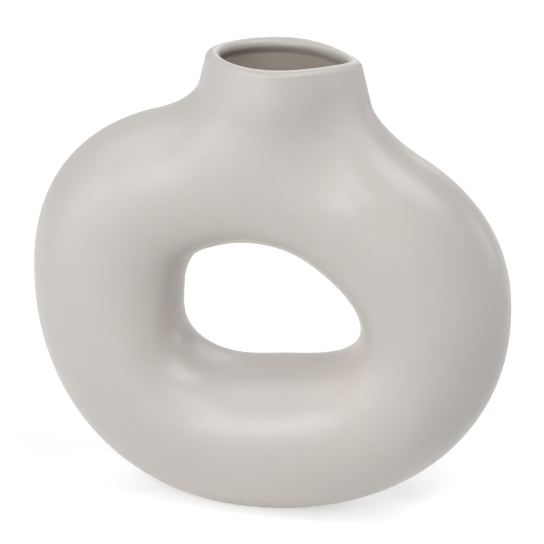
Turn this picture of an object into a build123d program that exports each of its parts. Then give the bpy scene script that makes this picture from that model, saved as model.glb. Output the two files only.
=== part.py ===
from build123d import *
from math import atan2, cos, hypot, pi, radians, sin, sqrt
import os

# Donut vase: a hollow ring in two moulded halves, with a collar that makes the neck and the mouth.
# Millimetres. X to the viewer's right, Y away from the viewer, Z up, base on Z = 0.

# Outer outline of the ring, seen from the front: an egg with its crown left of the middle
RING_WIDTH = 210.0
CROWN_SHIFT = 11.4
RING_RISE = 81.9
RING_DROP = 99.1
FOOT_FLAT = 3.0

# Hole through the ring: an oval with soft corners
HOLE_WIDTH = 81.8
HOLE_HEIGHT = 54.7
HOLE_SHIFT = 1.3
HOLE_BELOW = 5.5

# Depth of the tube, front to back
DEPTH_BOTTOM = 62.0
DEPTH_TOP = 50.2

# Neck and mouth
MOUTH_ABOVE = 106.6
MOUTH_WIDTH = 65.6
MOUTH_DEPTH = 49.6
MOUTH_SHIFT = 6.6
NECK_ROOT_ABOVE = 79.6
NECK_FADE = 41.7
NECK_BLEND = 25.6
CHIMNEY = 12.0
COLLAR_HEIGHT = 20.0

# Clay
WALL = 4.5
FLOOR = 6.0
LIP_ROUND = 2.0

# Proportions of the curves
RING_ABOVE_SHARE = 2.29
RING_BELOW_SHARE = 2.08
MOUTH_PINCH_SHARE = 0.26
MOUTH_TAPER_SHARE = 0.51
NECK_SPREAD_SHARE = 0.245

# Soft corners of the hole: how many, how far they draw it out, and the angle of the first one
HOLE_CORNER_SHARES = ((3, 0.076, -15.5), (4, 0.027, -35.0), (5, 0.012, 14.0))

# Where the sections stand round the ring, in degrees
RING_STEP = 10.0
NECK_STEP = 2.5
NECK_FROM = 40.0
NECK_TO = 130.0
SECTION_SPANS = 16
END_SHARE = 0.001

CENTRE_Z = RING_DROP - FOOT_FLAT
HOLE_X = -HOLE_SHIFT
HOLE_Z = CENTRE_Z - HOLE_BELOW
MOUTH_Z = CENTRE_Z + MOUTH_ABOVE
ROOT_Z = CENTRE_Z + NECK_ROOT_ABOVE
JOINT_Z = MOUTH_Z - COLLAR_HEIGHT
REACH = RING_WIDTH + RING_DROP + MOUTH_ABOVE


def in_ring(x, z):
    """True inside the outer outline, which is made of four quarter curves fuller than an ellipse."""
    across = abs(x + CROWN_SHIFT) / (RING_WIDTH / 2 + (CROWN_SHIFT if x > -CROWN_SHIFT else -CROWN_SHIFT))
    along = abs(z - CENTRE_Z) / (RING_RISE if z > CENTRE_Z else RING_DROP)
    power = RING_ABOVE_SHARE if z > CENTRE_Z else RING_BELOW_SHARE
    return across ** power + along ** power < 1


def hole_radius(angle):
    """How far the edge of the hole is from its centre."""
    across = cos(angle) / (HOLE_WIDTH / 2)
    along = sin(angle) / (HOLE_HEIGHT / 2)
    turn = atan2(along, across)
    oval = 1 / hypot(across, along)
    corners = [share * cos(n * (turn - radians(first))) for n, share, first in HOLE_CORNER_SHARES]
    return oval * (1 + sum(corners))


def last_inside(inside, start, stop):
    """The place between start and stop where inside stops being true."""
    for _ in range(50):
        middle = (start + stop) / 2
        if inside(middle):
            start = middle
        else:
            stop = middle
    return start


def neck_depth_squared(x, z, inset):
    """Half depth of the neck, squared. The mouth's pinch is gone at the root.
    The neck closes above the mouth and fades below the root."""
    level = min(z, MOUTH_Z)
    across = (x - MOUTH_SHIFT) / (MOUTH_WIDTH / 2 + NECK_SPREAD_SHARE * (MOUTH_Z - level) - inset)
    held = min(max(across, -1), 1)
    left = max(level - ROOT_Z, 0) / (MOUTH_Z - ROOT_Z)
    pinch = left ** 2 * (MOUTH_PINCH_SHARE * held + MOUTH_TAPER_SHARE * held ** 2)
    egg = (1 - across ** 2) * (1 - pinch)
    end = max(z - MOUTH_Z, 0) / CHIMNEY + max(ROOT_Z - z, 0) / NECK_FADE
    return (MOUTH_DEPTH / 2 - inset) ** 2 * (egg - end ** 2)


def blend(one, two):
    """The larger of two squared depths, rounded where they meet."""
    near = max(NECK_BLEND ** 2 - abs(one - two), 0) / NECK_BLEND ** 2
    return max(one, two) + near ** 2 * NECK_BLEND ** 2 / 4


def section(angle, inset):
    """Front half of the tube's section at one angle round the hole, from its edge to the outer edge."""
    c = cos(radians(angle))
    s = sin(radians(angle))
    inner = hole_radius(radians(angle))
    outer = last_inside(lambda r: in_ring(HOLE_X + c * r, HOLE_Z + s * r), 0, REACH)
    crest = (inner + outer) / 2
    half_width = (outer - inner) / 2 - inset
    half_depth = (DEPTH_BOTTOM + DEPTH_TOP) / 4 + (DEPTH_TOP - DEPTH_BOTTOM) / 4 * s - inset

    def depth_squared(r):
        tube = half_depth ** 2 * (1 - ((r - crest) / half_width) ** 2)
        return blend(tube, neck_depth_squared(HOLE_X + c * r, HOLE_Z + s * r, inset))

    near = last_inside(lambda r: depth_squared(r) > 0, crest, 0)
    far = last_inside(lambda r: depth_squared(r) > 0, crest, REACH)

    def place(turn):
        r = (near + far) / 2 - (far - near) / 2 * cos(pi * turn)
        return HOLE_X + c * r, -sqrt(max(depth_squared(r), 0)), HOLE_Z + s * r

    turns = [i / SECTION_SPANS for i in range(SECTION_SPANS + 1)]
    points = [place(turn) for turn in turns]
    points[0] = (points[0][0], 0, points[0][2])
    points[-1] = (points[-1][0], 0, points[-1][2])
    start = (0, place(END_SHARE)[1] / END_SHARE, 0)
    end = (0, -place(1 - END_SHARE)[1] / END_SHARE, 0)
    return Wire([Edge.make_spline(points, tangents=[start, end], parameters=turns, scale=False)])


def section_angles():
    """Even steps round the ring, finer where the neck rises out of it."""
    angles = []
    angle = NECK_TO - 360
    while angle < NECK_TO - NECK_STEP / 2:
        angles.append(angle)
        angle += NECK_STEP if angle > NECK_FROM - NECK_STEP / 2 else RING_STEP
    return angles


def front_half(inset):
    """The front half of the vase as a full solid, each wall set in by the given amount."""
    sections = [section(angle, inset) for angle in section_angles()]
    skin = Shell.make_loft(sections + sections[:1]).faces()[0]
    rims = sorted([edge for edge in skin.edges() if edge.is_closed], key=lambda edge: edge.length)
    seam = Face(Wire([rims[1]]), [Wire([rims[0]])])
    return Solid(Shell([skin, seam]))


def slab(bottom, top):
    """A block of everything between two heights."""
    return Pos(0, 0, (bottom + top) / 2) * Box(2 * REACH, 2 * REACH, top - bottom)


def hollow_half():
    """The front half with its cavity, foot and floor, still in one piece with its half of the neck."""
    body = front_half(0) & slab(0, MOUTH_Z)
    cavity = front_half(WALL) & slab(FLOOR, MOUTH_Z + CHIMNEY)
    return body - cavity


def neck_collar(half):
    """Both halves of the neck above the joint, in one piece, with a rounded lip."""
    front = half & slab(JOINT_Z, MOUTH_Z)
    collar = front + mirror(front, about=Plane.XZ)
    lip = collar.faces().sort_by(Axis.Z)[-1]
    return fillet(lip.edges(), LIP_ROUND)


def ring_shell(half):
    """The half ring below the joint."""
    return half & slab(0, JOINT_Z)


half = hollow_half()
front_shell = ring_shell(half)
pieces = {
    "front_shell": front_shell,
    "back_shell": mirror(front_shell, about=Plane.XZ),
    "neck_collar": neck_collar(half),
}

os.makedirs("parts", exist_ok=True)
for name, piece in pieces.items():
    export_step(piece, f"parts/{name}.step")
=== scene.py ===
from math import atan2, cos, degrees, exp, hypot, pi, radians, sin, sqrt

import bmesh
import bpy
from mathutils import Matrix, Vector


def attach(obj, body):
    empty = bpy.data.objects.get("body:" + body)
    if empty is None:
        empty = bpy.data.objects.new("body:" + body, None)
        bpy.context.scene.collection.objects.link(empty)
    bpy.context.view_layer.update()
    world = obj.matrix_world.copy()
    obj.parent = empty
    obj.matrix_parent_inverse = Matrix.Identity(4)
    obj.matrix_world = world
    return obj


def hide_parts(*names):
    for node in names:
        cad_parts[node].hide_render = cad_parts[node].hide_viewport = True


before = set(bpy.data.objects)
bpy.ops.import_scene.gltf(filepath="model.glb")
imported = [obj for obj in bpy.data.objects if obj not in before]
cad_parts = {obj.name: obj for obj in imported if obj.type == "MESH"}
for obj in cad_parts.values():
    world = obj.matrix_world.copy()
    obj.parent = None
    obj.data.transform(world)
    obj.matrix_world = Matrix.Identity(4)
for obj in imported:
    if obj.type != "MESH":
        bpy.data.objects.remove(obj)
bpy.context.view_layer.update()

# Donut vase in satin glazed ceramic, on a pale floor in soft studio light.
# Metres. X to the viewer's right, Y away from the viewer, Z up, as in the frame.

# Camera, as the photograph was taken
VIEW_AZIMUTH = 17.8
VIEW_ELEVATION = 22.4
VIEW_DISTANCE = 1.307
VIEW_PIVOT = Vector((-0.0114, 0.0, 0.0961))
VIEW_AIM = Vector((-0.0005, 0.0064, 0.1027))
LENS_MM = 203.1
SENSOR_MM = 36.0

# Shape of the clay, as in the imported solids
RING_WIDTH = 0.210
CROWN_SHIFT = 0.0114
RING_RISE = 0.0819
RING_DROP = 0.0991
FOOT_FLAT = 0.003
HOLE_WIDTH = 0.0818
HOLE_HEIGHT = 0.0547
HOLE_SHIFT = 0.0013
HOLE_BELOW = 0.0055
DEPTH_BOTTOM = 0.0620
DEPTH_TOP = 0.0502
MOUTH_ABOVE = 0.1066
MOUTH_WIDTH = 0.0656
MOUTH_DEPTH = 0.0496
MOUTH_SHIFT = 0.0066
NECK_ROOT_ABOVE = 0.0796
NECK_FADE = 0.0417
NECK_BLEND = 0.0256
WALL = 0.0045
FLOOR = 0.006
RING_ABOVE_SHARE = 2.29
RING_BELOW_SHARE = 2.08
MOUTH_PINCH_SHARE = 0.26
MOUTH_TAPER_SHARE = 0.51
NECK_SPREAD_SHARE = 0.245

# Soft corners of the hole: how many, how far they draw it out, and the angle of the first one
HOLE_CORNER_SHARES = ((3, 0.076, -15.5), (4, 0.027, -35.0), (5, 0.012, 14.0))

# The hole's upper left corner is drawn out further than in the solids. Angle and spread are in degrees
NICK_ANGLE = 135.0
NICK_SPREAD = 14.0
NICK_REACH = 0.0012

# Soft swells and dents that the maker's hands left, front and back: where, x, z, spread and height
SWELLS = (
    ("thumb dent right of the neck", 0.031, 0.175, 0.022, -0.0034),
    ("deepest part of the dent", 0.036, 0.186, 0.012, -0.0060),
    ("ridge beside the dent", 0.012, 0.187, 0.013, 0.0022),
    ("full left side of the neck", -0.010, 0.181, 0.023, 0.0020),
    ("knuckle on the right shoulder", 0.045, 0.151, 0.010, 0.0008),
    ("ridge down the right side", 0.074, 0.046, 0.018, 0.0014),
    ("flat on the right side", 0.099, 0.076, 0.020, -0.0018),
    ("swell at the lower left of the hole", -0.050, 0.071, 0.014, 0.0012),
    ("flat under the left of the hole", -0.018, 0.046, 0.022, -0.0011),
    ("flat under the right of the hole", 0.036, 0.056, 0.024, -0.0017),
)

# The lip is a rounded bead that turns in over the mouth, thicker than the wall under it
LIP_WIDTH = 0.0060
LIP_OUTSIDE = 0.0022
LIP_INSIDE = 0.0030
LIP_UNDER = 0.0040

# How fine the skin is, how much closer its columns stand beside the neck, and how often a search halves
NECK_COLUMNS = 56
RING_COLUMNS = 200
COLUMN_POINTS = 44
LIP_STEPS = 10
CLOSER_SHARE = 0.8
JOIN_DISTANCE = 0.000001
HALVINGS = 50

# Glaze: slow warm and cool patches, fine mottling and a slightly uneven skin.
# The liner inside is warmer and brighter than the glaze outside: painted light and painted warm bounce
# in the shade of the mouth. The clay is bare under the foot
GLAZE_COOL = (0.615, 0.575, 0.537, 1.0)
GLAZE_WARM = (0.634, 0.588, 0.541, 1.0)
# Liner colours: painted light and painted warm bounce that lift the shade inside the mouth
PAINTED_LIGHT_LINER_COOL = (0.700, 0.622, 0.550, 1.0)
PAINTED_LIGHT_LINER_WARM = (0.715, 0.630, 0.552, 1.0)
GLAZE_THIN = (0.955, 0.950, 0.940, 1.0)
BARE_CLAY = (0.560, 0.490, 0.410, 1.0)
GLAZE_ROUGHNESS = 0.32
ROUGHNESS_SPREAD = 0.05
GLAZE_SPECULAR = 0.45
PATCHES_PER_METRE = 16.0
PATCH_START = 0.40
PATCH_END = 0.60
MOTTLES_PER_METRE = 160.0
MOTTLE_DETAIL = 3.0
WAVES_PER_METRE = 26.0
WAVE_HEIGHT = 0.0005
GRAINS_PER_METRE = 900.0
GRAIN_DETAIL = 2.0
GRAIN_HEIGHT = 0.00001
GLAZE_EDGE = 0.0011
GLAZE_EDGE_SOFT = 0.0002

# Floor and surroundings. The floor's glow is weaker near the vase and full further off
WHITE = (1.0, 1.0, 1.0, 1.0)
FLOOR_COLOUR = (0.90, 0.90, 0.90, 1.0)
FLOOR_REACH = 4.0
FLOOR_GLOW = 0.5
GLOW_NEAR = 0.25
GLOW_FAR = 0.9

# Softboxes: name, azimuth and elevation in degrees, width and height in metres, power in watts
LAMP_DISTANCE = 1.2
LAMP_COLOUR = (0.985, 1.0, 1.02)
SOFTBOXES = (
    ("key", -18.0, 14.0, 0.36, 0.46, 3.6),
    ("low_left", -50.0, 6.0, 0.64, 0.52, 2.2),
    ("high_left", -60.0, 47.0, 0.95, 0.75, 3.0),
    ("front", 0.0, 34.0, 0.40, 0.25, 1.7),
    ("high_right", 60.0, 62.0, 0.70, 0.70, 6.7),
    ("back_right", 117.0, 14.0, 0.50, 0.55, 2.0),
    ("back", 180.0, 38.0, 0.80, 0.80, 3.6),
)

CENTRE_Z = RING_DROP - FOOT_FLAT
HOLE_X = -HOLE_SHIFT
HOLE_Z = CENTRE_Z - HOLE_BELOW
MOUTH_Z = CENTRE_Z + MOUTH_ABOVE
ROOT_Z = CENTRE_Z + NECK_ROOT_ABOVE
REACH = RING_WIDTH + RING_DROP + MOUTH_ABOVE


def in_ring(x, z):
    """True inside the outer outline, which is made of four quarter curves fuller than an ellipse."""
    half_width = RING_WIDTH / 2 + (CROWN_SHIFT if x > -CROWN_SHIFT else -CROWN_SHIFT)
    across = abs(x + CROWN_SHIFT) / half_width
    along = abs(z - CENTRE_Z) / (RING_RISE if z > CENTRE_Z else RING_DROP)
    power = RING_ABOVE_SHARE if z > CENTRE_Z else RING_BELOW_SHARE
    return across ** power + along ** power < 1


def hole_radius(angle):
    """How far the edge of the hole is from its centre."""
    across = cos(angle) / (HOLE_WIDTH / 2)
    along = sin(angle) / (HOLE_HEIGHT / 2)
    turn = atan2(along, across)
    oval = 1 / hypot(across, along)
    corners = [share * cos(n * (turn - radians(first))) for n, share, first in HOLE_CORNER_SHARES]
    nick = NICK_REACH * exp(-((degrees(turn) - NICK_ANGLE) / NICK_SPREAD) ** 2)
    return oval * (1 + sum(corners)) + nick


def last_inside(inside, start, stop):
    """The place between start and stop where inside stops being true, found by halving."""
    for _ in range(HALVINGS):
        middle = (start + stop) / 2
        if inside(middle):
            start = middle
        else:
            stop = middle
    return start


def mouth_half_width(z, inset):
    """Half the width of the neck at one height. It grows from the mouth down."""
    return MOUTH_WIDTH / 2 + NECK_SPREAD_SHARE * (MOUTH_Z - z) - inset


def neck_depth_squared(x, z, inset):
    """Half depth of the neck, squared.
    The mouth's pinch is gone at the root, and the neck fades below it."""
    level = min(z, MOUTH_Z)
    across = (x - MOUTH_SHIFT) / mouth_half_width(level, inset)
    held = min(max(across, -1), 1)
    left = max(level - ROOT_Z, 0) / (MOUTH_Z - ROOT_Z)
    pinch = left ** 2 * (MOUTH_PINCH_SHARE * held + MOUTH_TAPER_SHARE * held ** 2)
    egg = (1 - across ** 2) * (1 - pinch)
    end = max(ROOT_Z - z, 0) / NECK_FADE
    return (MOUTH_DEPTH / 2 - inset) ** 2 * (egg - end ** 2)


def blend(one, two):
    """The larger of two squared depths, rounded where they meet."""
    near = max(NECK_BLEND ** 2 - abs(one - two), 0) / NECK_BLEND ** 2
    return max(one, two) + near ** 2 * NECK_BLEND ** 2 / 4


def uneven_depth(x, z, depth_squared):
    """Half depth with the swells and dents, which die out towards the edges."""
    swell = 0
    for _, at_x, at_z, spread, height in SWELLS:
        swell += height * exp(-(hypot(x - at_x, z - at_z) / spread) ** 2)
    return sqrt(max(depth_squared, 0)) * (1 + swell / (MOUTH_DEPTH / 2))


def column(angle, inset, reach=None):
    """Points of the front of the skin at one angle round the hole, from the hole's edge outwards.
    A column that ends on the lip gives its reach. Any other ends at the outer edge."""
    c = cos(angle)
    s = sin(angle)
    inner = hole_radius(angle)
    outer = last_inside(lambda r: in_ring(HOLE_X + c * r, HOLE_Z + s * r), 0, REACH)
    crest = (inner + outer) / 2
    half_width = (outer - inner) / 2 - inset
    half_depth = (DEPTH_BOTTOM + DEPTH_TOP) / 4 + (DEPTH_TOP - DEPTH_BOTTOM) / 4 * s - inset

    def depth_squared(r):
        tube = half_depth ** 2 * (1 - ((r - crest) / half_width) ** 2)
        return blend(tube, neck_depth_squared(HOLE_X + c * r, HOLE_Z + s * r, inset))

    near = last_inside(lambda r: depth_squared(r) > 0, crest, 0)
    far = reach or last_inside(lambda r: depth_squared(r) > 0, crest, REACH)
    bottom = FLOOR if inset else 0
    points = []
    for i in range(COLUMN_POINTS + 1):
        r = (near + far) / 2 - (far - near) / 2 * cos(pi * i / COLUMN_POINTS)
        x = HOLE_X + c * r
        z = HOLE_Z + s * r
        points.append(Vector((x, -uneven_depth(x, z, depth_squared(r)), max(z, bottom))))
    points[0].y = 0
    if not reach:
        points[-1].y = 0
    return points


def mouth_outline(z, inset):
    """Front half of the mouth's outline at one height, from its left tip to its right tip."""
    points = []
    for i in range(NECK_COLUMNS + 1):
        x = MOUTH_SHIFT - mouth_half_width(z, inset) * cos(pi * i / NECK_COLUMNS)
        points.append(Vector((x, -uneven_depth(x, z, neck_depth_squared(x, z, inset)), z)))
    points[0].y = 0
    points[-1].y = 0
    return points


def skin(inset, rim_z):
    """Columns all round the ring, clockwise from the left tip of the mouth.
    The first ones end on the rim."""
    columns = []
    angles = []
    for point in mouth_outline(rim_z, inset):
        x = point.x - HOLE_X
        z = point.z - HOLE_Z
        angles.append(atan2(z, x))
        columns.append(column(angles[-1], inset, hypot(x, z)))
        columns[-1][-1] = point
    span = 2 * pi - (angles[0] - angles[-1])
    for i in range(1, RING_COLUMNS):
        even = i / RING_COLUMNS
        closer_at_ends = even - CLOSER_SHARE * sin(2 * pi * even) / (2 * pi)
        columns.append(column(angles[-1] - span * closer_at_ends, inset))
    return columns


def lip():
    """Outlines over the bead of the lip and down under it, between the outer rim and the inner one."""
    outlines = []
    for i in range(1, LIP_STEPS + 1):
        turn = pi * i / LIP_STEPS
        drop = LIP_OUTSIDE if turn < pi / 2 else LIP_INSIDE
        inset = LIP_WIDTH / 2 * (1 - cos(turn))
        outlines.append(mouth_outline(MOUTH_Z - drop * (1 - sin(turn)), inset))
    for i in range(1, LIP_STEPS):
        turn = pi * i / LIP_STEPS
        inset = WALL + (LIP_WIDTH - WALL) * (1 + cos(turn)) / 2
        outlines.append(mouth_outline(MOUTH_Z - LIP_INSIDE - LIP_UNDER * i / LIP_STEPS, inset))
    return outlines


def add_rows(build, rows):
    """A vertex for each point in rows of points."""
    return [[build.verts.new(point) for point in row] for row in rows]


def add_strip(build, one, two, finish=0):
    """Quads between two rows of vertices, with the material of the given number."""
    for a, b, c, d in zip(one, one[1:], two[1:], two):
        build.faces.new((a, b, c, d)).material_index = finish


def add_vase():
    """The whole vase as one skin, because no joint between the clay pieces shows under the glaze."""
    build = bmesh.new()
    outer = add_rows(build, skin(0, MOUTH_Z - LIP_OUTSIDE))
    inner = add_rows(build, skin(WALL, MOUTH_Z - LIP_INSIDE - LIP_UNDER))
    for finish, columns in enumerate((outer, inner)):
        for one, two in zip(columns, columns[1:] + columns[:1]):
            add_strip(build, one, two, finish)
    loops = [[points[-1] for points in outer[:NECK_COLUMNS + 1]]]
    loops += add_rows(build, lip())
    loops += [[points[-1] for points in inner[:NECK_COLUMNS + 1]]]
    for one, two in zip(loops, loops[1:]):
        add_strip(build, one, two)
    front = build.verts[:] + build.edges[:] + build.faces[:]
    bmesh.ops.mirror(build, geom=front, axis="Y", merge_dist=JOIN_DISTANCE)
    bmesh.ops.dissolve_degenerate(build, dist=JOIN_DISTANCE, edges=build.edges[:])
    bmesh.ops.recalc_face_normals(build, faces=build.faces[:])
    mesh = bpy.data.meshes.new("vase")
    build.to_mesh(mesh)
    build.free()
    mesh.shade_smooth()
    vase = bpy.data.objects.new("vase", mesh)
    bpy.context.scene.collection.objects.link(vase)
    return vase


def put(tree, socket, value):
    """Link an output to a socket, or set the socket to a plain value."""
    if isinstance(value, bpy.types.NodeSocket):
        tree.links.new(value, socket)
    else:
        socket.default_value = value


def add_node(tree, kind, **inputs):
    """A shader node with its inputs linked or set. An underscore in a name stands for a space."""
    node = tree.nodes.new("ShaderNode" + kind)
    for name, value in inputs.items():
        put(tree, node.inputs[name.replace("_", " ")], value)
    return node


def add_math(tree, operation, one, two):
    """The result of a math node. Each of its two values is an output or a plain number."""
    node = tree.nodes.new("ShaderNodeMath")
    node.operation = operation
    put(tree, node.inputs[0], one)
    put(tree, node.inputs[1], two)
    return node.outputs["Value"]


def add_noise(tree, place, scale, detail=0.0):
    """Soft noise, with its scale in lumps to the metre."""
    return add_node(tree, "TexNoise", Vector=place, Scale=scale, Detail=detail).outputs["Fac"]


def glaze_colour(tree, place, mottle, cool_colour, warm_colour):
    """Warm and cool patches, thinner and darker where it is mottled, with bare clay under the foot."""
    patches = add_node(tree, "ValToRGB", Fac=add_noise(tree, place, PATCHES_PER_METRE))
    cool, warm = patches.color_ramp.elements
    cool.position = PATCH_START
    cool.color = cool_colour
    warm.position = PATCH_END
    warm.color = warm_colour
    glaze = add_node(tree, "MixRGB", Fac=mottle, Color1=patches.outputs["Color"], Color2=GLAZE_THIN)
    glaze.blend_type = "MULTIPLY"
    height = add_node(tree, "SeparateXYZ", Vector=place).outputs["Z"]
    low = GLAZE_EDGE - GLAZE_EDGE_SOFT
    high = GLAZE_EDGE + GLAZE_EDGE_SOFT
    glazed = add_node(tree, "MapRange", Value=height, From_Min=low, From_Max=high).outputs["Result"]
    colour = add_node(tree, "MixRGB", Fac=glazed, Color1=BARE_CLAY, Color2=glaze.outputs["Color"])
    return colour.outputs["Color"]


def ceramic(name, cool_colour, warm_colour):
    """Satin off-white glaze on a skin that is a little uneven, as hand-finished clay is."""
    material = bpy.data.materials.new(name)
    material.use_nodes = True
    tree = material.node_tree
    shader = tree.nodes["Principled BSDF"]
    place = tree.nodes.new("ShaderNodeTexCoord").outputs["Object"]
    mottle = add_noise(tree, place, MOTTLES_PER_METRE, MOTTLE_DETAIL)
    colour = glaze_colour(tree, place, mottle, cool_colour, warm_colour)
    tree.links.new(colour, shader.inputs["Base Color"])
    smooth = GLAZE_ROUGHNESS - ROUGHNESS_SPREAD
    rough = GLAZE_ROUGHNESS + ROUGHNESS_SPREAD
    roughness = add_node(tree, "MapRange", Value=mottle, To_Min=smooth, To_Max=rough).outputs["Result"]
    tree.links.new(roughness, shader.inputs["Roughness"])
    shader.inputs["Specular IOR Level"].default_value = GLAZE_SPECULAR
    waves = add_noise(tree, place, WAVES_PER_METRE)
    grain = add_noise(tree, place, GRAINS_PER_METRE, GRAIN_DETAIL)
    uneven = add_node(tree, "Bump", Height=waves, Distance=WAVE_HEIGHT).outputs["Normal"]
    fine = add_node(tree, "Bump", Height=grain, Distance=GRAIN_HEIGHT, Normal=uneven).outputs["Normal"]
    tree.links.new(fine, shader.inputs["Normal"])
    return material


def seen_directly(tree):
    """One for rays from the camera, straight, mirrored or through glass. Zero for scattered light."""
    rays = tree.nodes.new("ShaderNodeLightPath").outputs
    mirrored = add_math(tree, "MAXIMUM", rays["Is Camera Ray"], rays["Is Glossy Ray"])
    return add_math(tree, "MAXIMUM", mirrored, rays["Is Transmission Ray"])


def white_floor():
    """Pale and matte, with a glow for the eye and for reflections alone.
    The glow turns it white and leaves a soft shadow by the vase."""
    material = bpy.data.materials.new("floor")
    material.use_nodes = True
    tree = material.node_tree
    shader = tree.nodes["Principled BSDF"]
    shader.inputs["Base Color"].default_value = FLOOR_COLOUR
    shader.inputs["Roughness"].default_value = 1.0
    shader.inputs["Specular IOR Level"].default_value = 0.0
    shader.inputs["Emission Color"].default_value = WHITE
    place = tree.nodes.new("ShaderNodeNewGeometry").outputs["Position"]
    distance = add_node(tree, "VectorMath")
    distance.operation = "LENGTH"
    tree.links.new(place, distance.inputs[0])
    away = distance.outputs["Value"]
    glow = add_node(tree, "MapRange", Value=away, From_Min=GLOW_NEAR, From_Max=GLOW_FAR)
    glow.inputs["To Min"].default_value = FLOOR_GLOW
    strength = add_math(tree, "MULTIPLY", glow.outputs["Result"], seen_directly(tree))
    tree.links.new(strength, shader.inputs["Emission Strength"])
    return material


def add_floor():
    """A wide floor under the vase."""
    mesh = bpy.data.meshes.new("floor")
    corners = [(x * FLOOR_REACH, y * FLOOR_REACH, 0) for x, y in ((-1, -1), (1, -1), (1, 1), (-1, 1))]
    mesh.from_pydata(corners, [], [(0, 1, 2, 3)])
    mesh.materials.append(white_floor())
    floor = bpy.data.objects.new("floor", mesh)
    bpy.context.scene.collection.objects.link(floor)


def add_world():
    """White to look at and in reflections. Scattered light comes from the lamps alone."""
    world = bpy.data.worlds.new("world")
    bpy.context.scene.world = world
    world.use_nodes = True
    tree = world.node_tree
    background = tree.nodes["Background"]
    background.inputs["Color"].default_value = WHITE
    tree.links.new(seen_directly(tree), background.inputs["Strength"])


def view_direction(azimuth, elevation):
    """Unit vector from the vase towards a viewer.
    Azimuth 0 is the front, and it grows to the viewer's right."""
    a = radians(azimuth)
    e = radians(elevation)
    return Vector((sin(a) * cos(e), -cos(a) * cos(e), sin(e)))


def aim(thing, place):
    """Stand a camera or a lamp at a place, turned to the middle of the picture."""
    bpy.context.scene.collection.objects.link(thing)
    thing.location = place
    thing.rotation_euler = (VIEW_AIM - place).to_track_quat("-Z", "Y").to_euler()


def add_camera():
    """The camera, where the photograph was taken from."""
    data = bpy.data.cameras.new("camera")
    data.lens = LENS_MM
    data.sensor_width = SENSOR_MM
    camera = bpy.data.objects.new("camera", data)
    aim(camera, VIEW_PIVOT + VIEW_DISTANCE * view_direction(VIEW_AZIMUTH, VIEW_ELEVATION))
    bpy.context.scene.camera = camera


def add_softbox(name, azimuth, elevation, width, height, power):
    """An area light that faces the vase."""
    data = bpy.data.lights.new(name, "AREA")
    data.shape = "RECTANGLE"
    data.size = width
    data.size_y = height
    data.energy = power
    data.color = LAMP_COLOUR
    aim(bpy.data.objects.new(name, data), VIEW_AIM + LAMP_DISTANCE * view_direction(azimuth, elevation))


bpy.context.scene.view_settings.view_transform = "Standard"
vase = add_vase()
vase.data.materials.append(ceramic("satin_glaze", GLAZE_COOL, GLAZE_WARM))
# The inner skin gets the brighter, warmer liner, which is painted light inside the shaded mouth
vase.data.materials.append(ceramic("liner_glaze_painted_light", PAINTED_LIGHT_LINER_COOL, PAINTED_LIGHT_LINER_WARM))
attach(vase, "root")
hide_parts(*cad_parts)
add_camera()
add_floor()
add_world()
for softbox in SOFTBOXES:
    add_softbox(*softbox)
